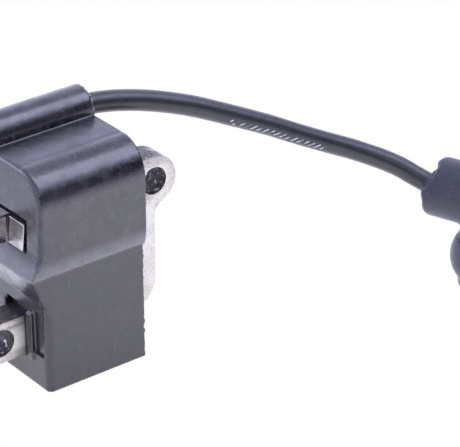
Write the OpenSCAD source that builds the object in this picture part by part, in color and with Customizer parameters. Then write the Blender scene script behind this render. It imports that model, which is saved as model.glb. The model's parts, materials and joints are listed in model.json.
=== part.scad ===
// Small engine ignition coil: a potted housing on a laminated core, with a
// high-tension lead to an elbow plug boot.
// +X runs along the lead tube, +Y to the back, +Z up.  The origin is in the
// middle of the object's footprint, on the surface that it stands on.

/* [Housing] */
// Length of the lower box along the core leg
box_len = 26; // [25:0.5:26.5]
// Depth of the lower box
box_depth = 23.4; // [23:0.1:24]
// Height where the upper housing steps out over the lower box
step_z = 29.3; // [28.5:0.1:30]
// Height of the flat top of the housing
top_z = 53.3; // [53:0.1:54]
// Depth of the upper housing
upper_depth = 25.2; // [25:0.1:26]
// How far the upper housing's front stands proud of the lower box
step_out = 0.9; // [0.6:0.1:1.2]
// Radius of the edge between the front and the top
front_edge_r = 8; // [6:0.5:9]
// Wall thickness
wall = 1.6; // [1.4:0.1:1.8]

/* [Lead tube] */
// Outer radius of the tube that holds the lead
tube_r = 4.9; // [4.6:0.1:5.2]
// Height of the tube's axis
tube_z = 53.9; // [53.5:0.1:54.5]
// Diameter of the high-tension lead
lead_d = 5; // [4.5:0.1:5]

/* [Core] */
// Thickness of the lamination stack
stack_t = 6.8; // [6.5:0.1:7]
// Number of punched sheets in the stack
sheets = 14; // [8:2:20]
// Height of the core's lower leg
leg_h = 10; // [9.5:0.1:10]
// Height of the leg's bottom face
leg_z = 6.4; // [6:0.1:6.6]
// Radius of the two mounting holes
mount_r = 3.3; // [2.6:0.1:3.4]
// Distance along X between the mounting holes
mount_dx = 42.2; // [41:0.1:43]
// Distance in height between the mounting holes
mount_dz = 26.9; // [25:0.1:28]

/* [Stop terminal] */
// Width of the push-on blade
blade_w = 6.3; // [4.8:0.1:6.3]
// Thickness of the blade
blade_t = 0.8; // [0.5:0.1:0.8]
// How far the blade stands out of the housing
blade_out = 8; // [7:0.5:9]

/* [Plug boot] */
// Outer radius of the boot's two arms
boot_r = 7.3; // [6.5:0.1:7.5]
// Outer radius of the bead round the plug socket
bead_r = 9.5; // [9:0.1:10]
// Height of the boot's arm above the mouth of the plug socket
boot_h = 22; // [21:0.5:24]
// Length of the arm that the lead goes into
boot_arm = 16; // [14:0.5:17]
// Radius of the plug socket
socket_r = 4.75; // [4.5:0.05:5]

/* [Hidden] */
$fn = 48;
eps = 0.01;

// Housing
upper_x0 = -1.5;
upper_x1 = 26.7;
flange_x = -3.3;
flange_top = 29.9;
flare_z = 34;
slant_z = 21.5;
corner_r = 1.3;
upper_wall = 1.8;
box_y1 = step_out + box_depth;
tube_y = 24.1;
mid_y = (tube_y + tube_r) / 2;
bore_clear = 0.1;
tube_bore_x = 6;
tube_mouth_x = 25.4;
seal_r = 3.8;
cavity_x0 = 4.2;
cavity_y0 = step_out + wall;
cavity_y1 = box_y1 - wall;
cavity_top = top_z - 2;
upper_cavity_x0 = 0.8;
upper_cavity_z = 31;

// Core
core_y = 9.2;
core_mid_y = core_y + stack_t / 2;
sheet_t = stack_t / sheets;
// Every other sheet lies this far off, which shows as fine lines on the stack's edges
sheet_slip = 0.05;
leg_mid_z = leg_z + leg_h / 2;
hole_low_x = -6.6;
hole_high_x = hole_low_x + mount_dx;
hole_high_z = leg_mid_z + mount_dz;
ear_r = 6;
mid_x = (hole_low_x - leg_h / 2 + hole_high_x + ear_r) / 2;
bar_x0 = 27.2;
bar_x1 = hole_high_x;
bar_foot_r = 8;
ear_fillet_r = 4;
rivet_r = 1.2;
rivet_head_r = 1.6;
rivet_head_t = 0.6;
rivet_x = 29.1;
rivet_low_z = 12;
rivet_high_z = 27;

// Window that the leg passes through, and the pockets beside it
leg_gap = 0.1;
window_y0 = 8.7;
window_y1 = 16.5;
window_z0 = 6;
window_z1 = 18.3;
rib_t = 2.4;
rib_out = 0.5;
pocket_z = 8.3;
pocket_depth = 2.4;

// Windings, as half sizes round the leg's axis [in Y, in Z]
snout_x = 1.3;
snout_top = 17.4;
coil_x0 = cavity_x0;
coil_x1 = 25.6;
spool_in = [stack_t / 2 + leg_gap, leg_h / 2 + leg_gap];
spool_out = spool_in + [0.8, 0.8];
primary_out = spool_out + [1.2, 1.2];
primary_flange = spool_out + [1.35, 1.35];
cheek = 1;
primary_x0 = coil_x0 + cheek;
primary_x1 = coil_x1 - cheek;
second_in = primary_flange + [0.05, 0.05];
second_out = second_in + [0.6, 0.6];
second_wire_out = second_out + [0.9, 0.9];
second_flange = second_out + [1.2, 1.2];
second_x0 = primary_x0 + 0.2;
second_x1 = 21.4;
sections = 5;
divider = 0.8;
section_pitch = (second_x1 - second_x0 - divider) / sections;
section_w = section_pitch - divider;

// Circuit board and what is on it
board_x0 = 2.4;
board_x1 = 24.4;
board_y0 = 10.8;
board_t = 1;
board_y1 = board_y0 + board_t;
board_z0 = 33;
board_z1 = 49.5;
// Corners of the parts on the board [in X, in Z]
transistor = [[15.5, 41], [22.5, 48]];
chip = [[8, 43], [13, 47]];
capacitor = [[12.4, 34.4], [18.4, 38.8]];
resistor_x = [5, 10];
resistor_z = [36, 39.4];
diode_x = [4.4, 7];
diode_z = 48;
axial_r = 1;
leg_len = 0.8;
leg_out = 1.4;
wire_r = 0.3;
primary_wire_x = 23;
primary_wire_top = 37;

// Stop terminal and ground strip
terminal_y0 = 6.4;
terminal_y1 = 12.4;
terminal_z0 = 34;
recess_x = -0.5;
recess_y0 = 5.4;
recess_y1 = 19.5;
recess_z1 = 41.8;
tail_y0 = board_y0 - blade_t;
tail_z0 = 36;
tail_h = 2.4;
tail_x1 = 5;
fill_x = box_len - 0.3;
strip_w = 3;
strip_t = 0.5;
strip_top = 38;
strip_foot_z = leg_z + leg_h + sheet_slip;
strip_y = core_mid_y - strip_w / 2;

// High-tension end
spike_x0 = 6.2;
spike_base_t = 1.4;
lead_x0 = spike_x0 + spike_base_t;
spike_len = 6;
hv_wire_x = 6.9;
hv_wire_y = 21.9;
hv_wire_r = 0.35;
hv_wire_z0 = 12;
hv_wire_z1 = tube_z - 0.8;

// Boot: the elbow is where the arm's axis meets the socket's axis
elbow = [96, -37, boot_h];
boot_yaw = -70.5;
bead_h = 13;
socket_depth = 11;
chamber_r = 3.9;
chamber_top = boot_h + 2.6;
lead_bore_r = lead_d / 2 + 0.05;
lead_end = 4.4;
spring_r = 3.1;
spring_wire = 0.8;
spring_turns = 5;
spring_z0 = 11.4;
spring_z1 = 18.6;

// Points along the lead: in the tube, out of its mouth, and down to the boot
lead_route = [
    [lead_x0 - mid_x, tube_y - mid_y, tube_z], [0, tube_y - mid_y, tube_z],
    [8, tube_y - mid_y, tube_z], [13, tube_y - mid_y, tube_z],
    [17, 9.2, 53.6], [22, 8.2, 52.9], [28, 7, 51.5],
    [34, 5.5, 49.7], [39.5, 4, 47.7], [45, 2.4, 45.3],
    [51, 0.6, 42.6], [57, -1.2, 39.8], [62.5, -3, 37],
    [68, -4.9, 34.3], [72.5, -6.5, 32.2], [76.5, -8.2, 30.4],
    [80, -10.2, 28.7], [83.2, -12.6, 27.1], [86, -15.4, 25.4],
    [88.3, -18.2, 23.5],
    for (back = [boot_arm + 1, boot_arm - 1, boot_arm - 6, lead_end])
        elbow + back * [-cos(boot_yaw), -sin(boot_yaw), 0]
];
lead_sides = 10;

// ---- helpers -------------------------------------------------------------

// From the housing's front left corner to the object's own origin
module from_corner() {
    translate([-mid_x, -mid_y, 0]) children();
}

// An outline in (Y, Z), extruded along +X from x0 to x1
module along_x(x0, x1) {
    translate([x0, 0, 0])
        rotate([90, 0, 90])
            linear_extrude(x1 - x0) children();
}

// An outline in (X, Z), extruded along +Y from y0 to y1
module along_y(y0, y1) {
    translate([0, y1, 0])
        rotate([90, 0, 0])
            linear_extrude(y1 - y0) children();
}

module block(low, high) {
    translate(low) cube(high - low);
}

module rod_x(x0, x1, r, y, z) {
    translate([x0, y, z])
        rotate([0, 90, 0])
            cylinder(r = r, h = x1 - x0);
}

module rod_y(y0, y1, r, x, z) {
    translate([x, y1, z])
        rotate([90, 0, 0])
            cylinder(r = r, h = y1 - y0);
}

module rod_z(z0, z1, r, x, y) {
    translate([x, y, z0])
        cylinder(r = r, h = z1 - z0);
}

// A rectangle of half sizes half, with corners of radius r
module rounded_rect(half, r) {
    square([2 * half[0], 2 * (half[1] - r)], center = true);
    square([2 * (half[0] - r), 2 * half[1]], center = true);
    for (sy = [-1, 1], sz = [-1, 1])
        translate([sy * (half[0] - r), sz * (half[1] - r)])
            circle(r = r);
}

// A closed loop round the leg: half sizes inside and outside
module leg_ring(x0, x1, inner, outer, r) {
    translate([0, core_mid_y, leg_mid_z])
        along_x(x0, x1)
            difference() {
                rounded_rect(outer, r);
                square(2 * inner, center = true);
            }
}

function unit(v) = v / norm(v);

// Direction of a route at point i
function heading(pts, i) =
    unit(pts[min(i + 1, len(pts) - 1)] - pts[max(i - 1, 0)]);

// One ring of a tube, square to the route
function tube_ring(p, dir, r, sides) =
    let (side = unit(cross(dir, [0, 0, 1])), up = cross(side, dir))
    [for (k = [0:sides - 1])
        p + r * (cos(360 * k / sides) * side + sin(360 * k / sides) * up)];

function tube_skin(rings, sides) = [
    [for (k = [0:sides - 1]) k],
    for (i = [0:rings - 2], k = [0:sides - 1])
        let (a = i * sides + k, b = i * sides + (k + 1) % sides)
        [a, a + sides, b + sides, b],
    [for (k = [sides - 1:-1:0]) (rings - 1) * sides + k]
];

module swept_tube(pts, r, sides) {
    points = [for (i = [0:len(pts) - 1])
        each tube_ring(pts[i], heading(pts, i), r, sides)];
    polyhedron(points, tube_skin(len(pts), sides), convexity = 6);
}

// ---- housing -------------------------------------------------------------

module upper_outline() {
    difference() {
        translate([0, step_z])
            square([upper_depth, top_z - step_z]);
        translate([0, top_z - front_edge_r])
            square(front_edge_r);
    }
    translate([front_edge_r, top_z - front_edge_r])
        circle(r = front_edge_r);
}

module lower_outline() {
    translate([corner_r, step_out])
        square([box_len - corner_r, box_depth]);
    translate([0, step_out + corner_r])
        square([corner_r, box_depth - 2 * corner_r]);
    for (y = [step_out + corner_r, box_y1 - corner_r])
        translate([corner_r, y]) circle(r = corner_r);
}

// The housing's foot flares out over the lower box, on a concave curve
module flange_upper_outline() {
    rise = flare_z - flange_top;
    out = upper_x0 - flange_x;
    bend_r = (rise * rise + out * out) / (2 * out);
    difference() {
        translate([flange_x, step_z])
            square([2 * out, flare_z - step_z]);
        translate([upper_x0 - bend_r, flare_z])
            circle(r = bend_r, $fn = 96);
    }
}

module flange_lower_outline() {
    polygon([
        [flange_x, step_z], [flange_x + 0.4, step_z - 0.8],
        [0, slant_z], [1, slant_z], [1, step_z]
    ]);
}

module case_outer() {
    linear_extrude(step_z) lower_outline();
    along_x(upper_x0, upper_x1) upper_outline();
    along_y(0, upper_depth) flange_upper_outline();
    along_y(step_out, box_y1) flange_lower_outline();
    rod_x(upper_x0, upper_x1, tube_r, tube_y, tube_z);
    // web under the overhanging back of the tube
    along_x(upper_x0, upper_x1)
        polygon([
            [upper_depth - 1, 45], [upper_depth, 45],
            [tube_y + tube_r * 0.9, tube_z - tube_r * 0.4],
            [upper_depth - 1, tube_z]
        ]);
    for (y = [window_y0 - rib_t, window_y1])
        block([-rib_out, y, window_z0], [cavity_x0, y + rib_t, window_z1 - 0.6]);
}

module cavity() {
    block([cavity_x0, cavity_y0, wall], [upper_x1, cavity_y1, upper_cavity_z]);
    block([upper_cavity_x0, upper_wall, upper_cavity_z],
          [upper_x1, upper_depth - upper_wall, top_z - front_edge_r]);
    block([upper_cavity_x0, front_edge_r, upper_cavity_z],
          [upper_x1, 20.4, cavity_top]);
    // lining radius under the rounded front edge
    rod_x(upper_cavity_x0, upper_x1, front_edge_r - upper_wall,
          front_edge_r, top_z - front_edge_r);
}

module pockets() {
    for (y = [[step_out + corner_r, window_y0 - rib_t],
              [window_y1 + rib_t, box_y1 - corner_r]])
        block([-1, y[0], pocket_z], [pocket_depth, y[1], slant_z]);
}

module leg_window() {
    block([-1, window_y0, window_z0], [cavity_x0 + eps, window_y1, window_z1]);
}

module terminal_recess() {
    block([upper_x0 - 1, recess_y0, terminal_z0],
          [recess_x, recess_y1, recess_z1]);
    block([recess_x - eps, tail_y0, tail_z0],
          [upper_cavity_x0 + eps, tail_y0 + blade_t, tail_z0 + tail_h]);
}

module tube_bore() {
    rod_x(tube_bore_x, upper_x1 + 1, lead_d / 2 + bore_clear, tube_y, tube_z);
    rod_x(tube_mouth_x, upper_x1 + 1, seal_r, tube_y, tube_z);
    rod_z(cavity_top - 8, tube_z, hv_wire_r + bore_clear, hv_wire_x, hv_wire_y);
}

module case() {
    color([0.20, 0.20, 0.22])
        from_corner()
            difference() {
                case_outer();
                cavity();
                pockets();
                leg_window();
                terminal_recess();
                tube_bore();
            }
}

// ---- core ----------------------------------------------------------------

module core_outline() {
    foot_x = bar_x1 - bar_foot_r;
    // leg, with its rounded end round the lower mounting hole
    translate([hole_low_x, leg_z])
        square([foot_x - hole_low_x, leg_h]);
    translate([hole_low_x, leg_mid_z])
        circle(r = leg_h / 2);
    // bar, with its rounded foot
    translate([foot_x, leg_z + bar_foot_r])
        intersection() {
            circle(r = bar_foot_r, $fn = 96);
            translate([0, -bar_foot_r]) square(bar_foot_r);
        }
    translate([foot_x - eps, leg_z + leg_h - eps])
        square([bar_foot_r + eps, hole_high_z - leg_z - leg_h]);
    translate([foot_x - eps, leg_z + bar_foot_r - eps])
        square([bar_foot_r + eps, leg_h - bar_foot_r + 2 * eps]);
    translate([bar_x0, leg_z + leg_h - eps])
        square([foot_x - bar_x0 + eps, hole_high_z - leg_z - leg_h]);
    // head of the bar and its ear
    translate([bar_x0 + ear_r, hole_high_z - eps])
        square([bar_x1 - bar_x0 - ear_r, ear_r + eps]);
    for (x = [bar_x0 + ear_r, bar_x1])
        translate([x, hole_high_z]) circle(r = ear_r, $fn = 96);
    ear_fillet();
}

// Concave fillet between the ear and the side of the bar
module ear_fillet() {
    reach = ear_r + ear_fillet_r;
    drop = sqrt(reach * reach - ear_fillet_r * ear_fillet_r);
    touch = ear_r / reach;
    fillet_z = hole_high_z - drop;
    difference() {
        polygon([
            [bar_x1 - 1, fillet_z],
            [bar_x1 + ear_fillet_r, fillet_z],
            [bar_x1 + touch * ear_fillet_r, hole_high_z - touch * drop],
            [bar_x1 - 1, hole_high_z]
        ]);
        translate([bar_x1 + ear_fillet_r, fillet_z])
            circle(r = ear_fillet_r, $fn = 96);
    }
}

module core_laminations() {
    color([0.72, 0.71, 0.70])
        from_corner()
            difference() {
                for (i = [0:sheets - 1])
                    translate([i % 2 * sheet_slip, 0, i % 2 * sheet_slip])
                        along_y(core_y + i * sheet_t,
                                min(core_y + (i + 1) * sheet_t + eps,
                                    core_y + stack_t))
                            core_outline();
                for (h = [[hole_low_x, leg_mid_z], [hole_high_x, hole_high_z]])
                    rod_y(core_y - 1, core_y + stack_t + 1, mount_r, h[0], h[1]);
                for (z = [rivet_low_z, rivet_high_z])
                    rod_y(core_y - 1, core_y + stack_t + 1, rivet_r, rivet_x, z);
            }
}

module core_rivets() {
    color([0.60, 0.60, 0.60])
        from_corner()
            for (z = [rivet_low_z, rivet_high_z]) {
                rod_y(core_y - rivet_head_t, core_y + stack_t + rivet_head_t,
                      rivet_r, rivet_x, z);
                rod_y(core_y - rivet_head_t, core_y, rivet_head_r, rivet_x, z);
                rod_y(core_y + stack_t, core_y + stack_t + rivet_head_t,
                      rivet_head_r, rivet_x, z);
            }
}

// ---- windings ------------------------------------------------------------

module primary_bobbin() {
    color([0.85, 0.84, 0.78])
        from_corner()
            difference() {
                union() {
                    block([snout_x, window_y0, window_z0],
                          [coil_x0 + eps, window_y1, snout_top]);
                    leg_ring(coil_x0, coil_x1, spool_in, spool_out, 0.4);
                    leg_ring(coil_x0, primary_x0, spool_in, primary_flange, 0.6);
                    leg_ring(primary_x1, coil_x1, spool_in, primary_flange, 0.6);
                }
                translate([0, core_mid_y, leg_mid_z])
                    along_x(snout_x - 1, coil_x1 + 1)
                        square(2 * spool_in, center = true);
            }
}

module primary_winding() {
    color([0.72, 0.40, 0.22])
        from_corner()
            leg_ring(primary_x0, primary_x1, spool_out, primary_out, 0.8);
}

module secondary_bobbin() {
    color([0.90, 0.89, 0.84])
        from_corner() {
            leg_ring(second_x0, second_x1, second_in, second_out, 0.6);
            for (i = [0:sections])
                translate([i * section_pitch, 0, 0])
                    leg_ring(second_x0, second_x0 + divider,
                             second_in, second_flange, 1);
        }
}

module secondary_winding() {
    color([0.78, 0.46, 0.26])
        from_corner()
            for (i = [0:sections - 1])
                translate([i * section_pitch + divider, 0, 0])
                    leg_ring(second_x0, second_x0 + section_w,
                             second_out, second_wire_out, 0.9);
}

// ---- electronics ---------------------------------------------------------

module board_body() {
    block([board_x0, board_y0, board_z0], [board_x1, board_y1, board_z1]);
}

module circuit_board() {
    color([0.16, 0.38, 0.22])
        from_corner() board_body();
}

// The body of a part on the board's back face, from lift to top above it
module on_board(corners, lift, top) {
    block([corners[0][0], board_y1 + lift, corners[0][1]],
          [corners[1][0], board_y1 + top, corners[1][1]]);
}

// A flat leg from the board to a body, of width w
module flat_leg(x, z, w) {
    block([x, board_y1, z], [x + w, board_y1 + leg_out, z + leg_len]);
}

module transistor_body() {
    pitch = 2.2;
    on_board(transistor, 0.6, 3);
    for (i = [0:2])
        flat_leg(transistor[0][0] + pitch * i + 1, transistor[0][1] - leg_len, 0.6);
}

module power_transistor() {
    color([0.12, 0.12, 0.13])
        from_corner() transistor_body();
}

module chip_body() {
    pitch = 1.2;
    on_board(chip, 0.3, 1.9);
    for (i = [0:3], z = [chip[0][1] - leg_len, chip[1][1]])
        flat_leg(chip[0][0] + pitch * i + 0.5, z, 0.4);
}

module control_chip() {
    color([0.10, 0.10, 0.11])
        from_corner() chip_body();
}

// A body with a bent wire at each end, along X
module axial_part(ends, z) {
    y = board_y1 + axial_r + 0.1;
    rod_x(ends[0], ends[1], axial_r, y, z);
    for (x = [ends[0] - leg_len, ends[1] + leg_len])
        rod_y(board_y1, y, wire_r, x, z);
    rod_x(ends[0] - leg_len, ends[1] + leg_len, wire_r, y, z);
}

module resistor_bodies() {
    for (z = resistor_z) axial_part(resistor_x, z);
}

module resistors() {
    color([0.78, 0.68, 0.50])
        from_corner() resistor_bodies();
}

module capacitor_body() {
    on_board(capacitor, 0.5, 3.4);
    for (x = [capacitor[0][0] + 0.8, capacitor[1][0] - 1.2])
        flat_leg(x, capacitor[0][1] - leg_len, 0.4);
}

module filter_capacitor() {
    color([0.62, 0.22, 0.14])
        from_corner() capacitor_body();
}

module diode_body() {
    axial_part(diode_x, diode_z);
}

module clamp_diode() {
    color([0.16, 0.16, 0.17])
        from_corner() diode_body();
}

// Enamelled wire from the primary winding up to the board
module primary_wire_body(y) {
    rod_z(leg_mid_z + primary_out[1], primary_wire_top,
          wire_r, primary_wire_x, y);
}

module primary_wire(y) {
    color([0.72, 0.40, 0.22])
        from_corner() primary_wire_body(y);
}

// Wire from the end of the secondary winding up to the lead's spike
module secondary_wire_body() {
    rod_y(core_mid_y + second_wire_out[0], hv_wire_y,
          hv_wire_r, hv_wire_x, hv_wire_z0);
    rod_z(hv_wire_z0, hv_wire_z1, hv_wire_r, hv_wire_x, hv_wire_y);
    translate([hv_wire_x, hv_wire_y, hv_wire_z0])
        sphere(r = hv_wire_r);
}

module secondary_wire() {
    color([0.78, 0.46, 0.26])
        from_corner() secondary_wire_body();
}

// Tinned strip that earths the board to the core, bent onto the leg
module ground_tongue() {
    block([board_x1, strip_y, strip_top - strip_w],
          [fill_x, strip_y + strip_t, strip_top]);
}

module ground_strip() {
    color([0.80, 0.80, 0.80])
        from_corner() {
            ground_tongue();
            block([fill_x, strip_y, strip_foot_z],
                  [fill_x + strip_t, strip_y + strip_w, strip_top]);
            block([fill_x, strip_y, strip_foot_z],
                  [bar_x0, strip_y + strip_w, strip_foot_z + strip_t]);
        }
}

// ---- stop terminal -------------------------------------------------------

module blade_outline() {
    nose = 1;
    difference() {
        polygon([
            [recess_x, terminal_z0], [recess_x, terminal_z0 + blade_w],
            [upper_x0 - blade_out + nose, terminal_z0 + blade_w],
            [upper_x0 - blade_out, terminal_z0 + blade_w - nose],
            [upper_x0 - blade_out, terminal_z0 + nose],
            [upper_x0 - blade_out + nose, terminal_z0]
        ]);
        translate([upper_x0 - blade_out + 2.6, terminal_z0 + blade_w / 2])
            circle(r = 0.9);
    }
}

module stop_terminal() {
    color([0.78, 0.76, 0.72])
        from_corner() {
            block([recess_x - blade_t, terminal_y0, terminal_z0],
                  [recess_x, terminal_y1 + blade_t, terminal_z0 + blade_w]);
            along_y(terminal_y1, terminal_y1 + blade_t) blade_outline();
            block([recess_x - eps, tail_y0, tail_z0],
                  [tail_x1, tail_y0 + blade_t, tail_z0 + tail_h]);
        }
}

// ---- high-tension end ----------------------------------------------------

module lead_spike() {
    color([0.80, 0.66, 0.34])
        from_corner() {
            rod_x(spike_x0, lead_x0, lead_d / 2 - 0.1, tube_y, tube_z);
            translate([lead_x0 - eps, tube_y, tube_z])
                rotate([0, 90, 0])
                    cylinder(r1 = 0.8, r2 = 0.1, h = spike_len);
        }
}

module lead_seal() {
    rim_x = upper_x1 + 0.7;
    color([0.30, 0.30, 0.31])
        from_corner()
            difference() {
                union() {
                    rod_x(tube_mouth_x, upper_x1 + eps, seal_r, tube_y, tube_z);
                    translate([upper_x1, tube_y, tube_z])
                        rotate([0, 90, 0])
                            cylinder(r1 = tube_r - 0.3, r2 = seal_r - 0.3,
                                     h = rim_x - upper_x1);
                }
                rod_x(tube_mouth_x - 1, rim_x + 1, lead_d / 2 + eps,
                      tube_y, tube_z);
            }
}

module ht_lead() {
    color([0.19, 0.19, 0.21])
        swept_tube(lead_route, lead_d / 2, lead_sides);
}

// ---- plug boot -----------------------------------------------------------

module at_elbow() {
    translate(elbow) rotate([0, 0, boot_yaw]) children();
}

module bead_outline() {
    edge_r = 4;
    square([bead_r - edge_r, bead_h]);
    translate([0, edge_r])
        square([bead_r, bead_h - 2 * edge_r]);
    translate([bead_r - edge_r, bead_h - edge_r]) circle(r = edge_r);
    intersection() {
        translate([bead_r - edge_r, edge_r]) circle(r = edge_r);
        square([bead_r, bead_h]);
    }
}

module plug_boot() {
    color([0.22, 0.22, 0.24])
        at_elbow()
            difference() {
                union() {
                    rod_x(-boot_arm, 0, boot_r, 0, 0);
                    sphere(r = boot_r);
                    translate([0, 0, -boot_h]) {
                        cylinder(r = boot_r, h = boot_h);
                        rotate_extrude() bead_outline();
                    }
                }
                rod_x(-boot_arm - 1, 0, lead_bore_r, 0, 0);
                rod_z(-boot_h - 1, -boot_h + socket_depth, socket_r, 0, 0);
                rod_z(-boot_h, chamber_top - boot_h, chamber_r, 0, 0);
            }
}

// Coil spring that grips the plug's terminal
module boot_contact_spring() {
    steps = 12;
    rise = spring_z1 - spring_z0;
    turns = [for (i = [0:spring_turns * steps])
        let (a = 360 * i / steps)
        [spring_r * cos(a), spring_r * sin(a),
         spring_z0 - boot_h + rise * i / (spring_turns * steps)]];
    color([0.75, 0.75, 0.76])
        at_elbow()
            swept_tube(turns, spring_wire / 2, 6);
}

// Contact pin from the spring to the end of the lead
module boot_contact_pin() {
    color([0.80, 0.66, 0.34])
        at_elbow() {
            rod_x(-lead_end + 0.1, 0, 0.8, 0, 0);
            rod_z(spring_z1 + spring_wire / 2 - boot_h, 1.2, 1.4, 0, 0);
            rod_z(spring_z1 + spring_wire / 2 - boot_h,
                  spring_z1 + 1.2 - boot_h, chamber_r - 0.2, 0, 0);
        }
}

// ---- potting -------------------------------------------------------------

// Resin that fills the housing round everything inside it
module potting() {
    color([0.14, 0.14, 0.15])
        from_corner()
            difference() {
                intersection() {
                    cavity();
                    block([0, 0, 0], [fill_x, upper_depth, top_z]);
                }
                coil_space();
                board_space();
            }
}

// Space that the leg, the bobbins, the windings and their wires take up
module coil_space() {
    translate([0, core_mid_y, leg_mid_z]) {
        along_x(coil_x0 - 1, coil_x1) rounded_rect(spool_out, 0.4);
        along_x(coil_x0 - 1, box_len) square(2 * spool_in, center = true);
        for (x = [[coil_x0 - 1, primary_x0], [primary_x1, coil_x1]])
            along_x(x[0], x[1]) rounded_rect(primary_flange, 0.6);
        along_x(primary_x0, primary_x1) rounded_rect(primary_out, 0.8);
        along_x(second_x0, second_x1) rounded_rect(second_out, 0.6);
        for (i = [0:sections])
            along_x(second_x0 + i * section_pitch,
                    second_x0 + i * section_pitch + divider)
                rounded_rect(second_flange, 1);
        for (i = [0:sections - 1])
            along_x(second_x0 + i * section_pitch + divider,
                    second_x0 + (i + 1) * section_pitch)
                rounded_rect(second_wire_out, 0.9);
    }
    for (y = [board_y0 - wire_r, board_y1 + wire_r]) primary_wire_body(y);
    secondary_wire_body();
}

module board_space() {
    board_body();
    transistor_body();
    chip_body();
    resistor_bodies();
    capacitor_body();
    diode_body();
    ground_tongue();
    block([0, tail_y0, tail_z0],
          [tail_x1, tail_y0 + blade_t, tail_z0 + tail_h]);
}

case();
potting();
core_laminations();
core_rivets();
primary_bobbin();
primary_winding();
secondary_bobbin();
secondary_winding();
circuit_board();
power_transistor();
control_chip();
resistors();
filter_capacitor();
clamp_diode();
primary_wire(board_y0 - wire_r);  // primary_start_wire
primary_wire(board_y1 + wire_r);  // primary_end_wire
secondary_wire();
ground_strip();
stop_terminal();
lead_spike();
lead_seal();
ht_lead();
plug_boot();
boot_contact_spring();
boot_contact_pin();
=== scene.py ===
import json
import math

import bmesh
import bpy
import numpy as np
from mathutils import Matrix, Vector


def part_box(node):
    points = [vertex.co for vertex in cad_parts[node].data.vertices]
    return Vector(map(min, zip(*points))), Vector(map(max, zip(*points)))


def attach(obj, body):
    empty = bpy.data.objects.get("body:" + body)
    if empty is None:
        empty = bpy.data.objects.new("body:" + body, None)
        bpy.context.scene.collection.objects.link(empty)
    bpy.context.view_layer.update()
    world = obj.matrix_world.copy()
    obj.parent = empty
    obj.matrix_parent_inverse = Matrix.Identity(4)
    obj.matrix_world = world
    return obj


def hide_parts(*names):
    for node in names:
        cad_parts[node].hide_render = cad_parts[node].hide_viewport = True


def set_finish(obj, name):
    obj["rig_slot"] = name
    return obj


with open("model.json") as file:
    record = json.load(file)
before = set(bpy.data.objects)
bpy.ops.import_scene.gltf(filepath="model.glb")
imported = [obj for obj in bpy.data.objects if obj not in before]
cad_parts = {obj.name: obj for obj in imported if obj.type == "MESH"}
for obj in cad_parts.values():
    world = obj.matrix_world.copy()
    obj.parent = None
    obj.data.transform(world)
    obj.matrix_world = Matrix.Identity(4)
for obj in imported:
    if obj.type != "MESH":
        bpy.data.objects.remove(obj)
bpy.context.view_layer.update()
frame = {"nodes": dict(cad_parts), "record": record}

# Lengths are in millimetres. X starts at the lower box's left face, Y at the upper housing's
# front and Z at the bottom. place() takes a point to the shared frame, in metres.
MM = 0.001
FLARE_X = -3.3
case_low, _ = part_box("case")
core_low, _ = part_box("core_laminations")
CORNER = Vector((case_low.x - FLARE_X * MM, case_low.y, case_low.z))
AXES = {"x": 0, "y": 1, "z": 2}


def place(point):
    return CORNER + Vector(point) * MM


# ---- camera and high-tension lead ---------------------------------------------

# In the shared frame, in metres
CAMERA_AT = Vector((-0.262658, -0.393063, 0.282843))
CAMERA_AZIMUTH, CAMERA_ELEVATION = math.radians(38.174), math.radians(28.018)
CAMERA_LENS = 188.08


def make_camera():
    data = bpy.data.cameras.new("camera")
    data.sensor_width, data.lens = 36, CAMERA_LENS
    data.clip_start, data.clip_end = 0.02, 20
    camera = bpy.data.objects.new("camera", data)
    bpy.context.collection.objects.link(camera)
    flat = math.cos(CAMERA_ELEVATION)
    forward = Vector((math.sin(CAMERA_AZIMUTH) * flat, math.cos(CAMERA_AZIMUTH) * flat,
                      -math.sin(CAMERA_ELEVATION)))
    camera.location = CAMERA_AT
    camera.rotation_mode = "QUATERNION"
    camera.rotation_quaternion = forward.to_track_quat("-Z", "Y")
    bpy.context.scene.camera = camera


# The elbow is where the boot's arm meets its socket. It and the route of the lead are in the
# shared frame, in millimetres.
ELBOW = Vector((96, -37, 22))
BOOT_YAW = math.radians(-70.5)
ARM = Vector((math.cos(BOOT_YAW), math.sin(BOOT_YAW), 0))
# The arm's length, and how far short of the elbow the lead ends
BOOT_ARM, LEAD_BACK = 16, 4.4
LEAD_D, LEAD_SIDES, LEAD_STEPS = 5, 40, 8
# Millimetres of lead to a unit of its UV
UV_UNIT = 10
LEAD_ROUTE = [Vector(p) for p in (
    (-7.4, 9.6, 53.9), (0, 9.6, 53.9), (8, 9.6, 53.9), (13, 9.6, 53.9),
    (17, 9.2, 53.6), (22, 8.2, 52.9), (28, 7, 51.5),
    (34, 5.5, 49.7), (39.5, 4, 47.7), (45, 2.4, 45.3),
    (51, 0.6, 42.6), (57, -1.2, 39.8), (62.5, -3, 37),
    (68, -4.9, 34.3), (72.5, -6.5, 32.2), (76.5, -8.2, 30.4),
    (80, -10.2, 28.7), (83.2, -12.6, 27.1), (86, -15.4, 25.4),
    (88.3, -18.2, 23.5),
)] + [ELBOW - ARM * back for back in (BOOT_ARM + 1, BOOT_ARM - 1, BOOT_ARM - 6, LEAD_BACK)]


def link(name, mesh, body, slot, replaced=()):
    piece = bpy.data.objects.new(name, mesh)
    bpy.context.collection.objects.link(piece)
    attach(piece, body)
    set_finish(piece, slot)
    if replaced:
        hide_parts(*replaced)
    return piece


def smooth_route(points, steps):
    """The points with Catmull-Rom points between them."""
    ends = [2 * points[0] - points[1], *points, 2 * points[-1] - points[-2]]
    line = []
    for a, b, c, d in zip(ends, ends[1:], ends[2:], ends[3:]):
        for i in range(steps):
            t = i / steps
            line.append(0.5 * (2 * b + (c - a) * t + (2 * a - 5 * b + 4 * c - d) * t * t
                               + (3 * b - a - 3 * c + d) * t * t * t))
    return [*line, points[-1]]


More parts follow.
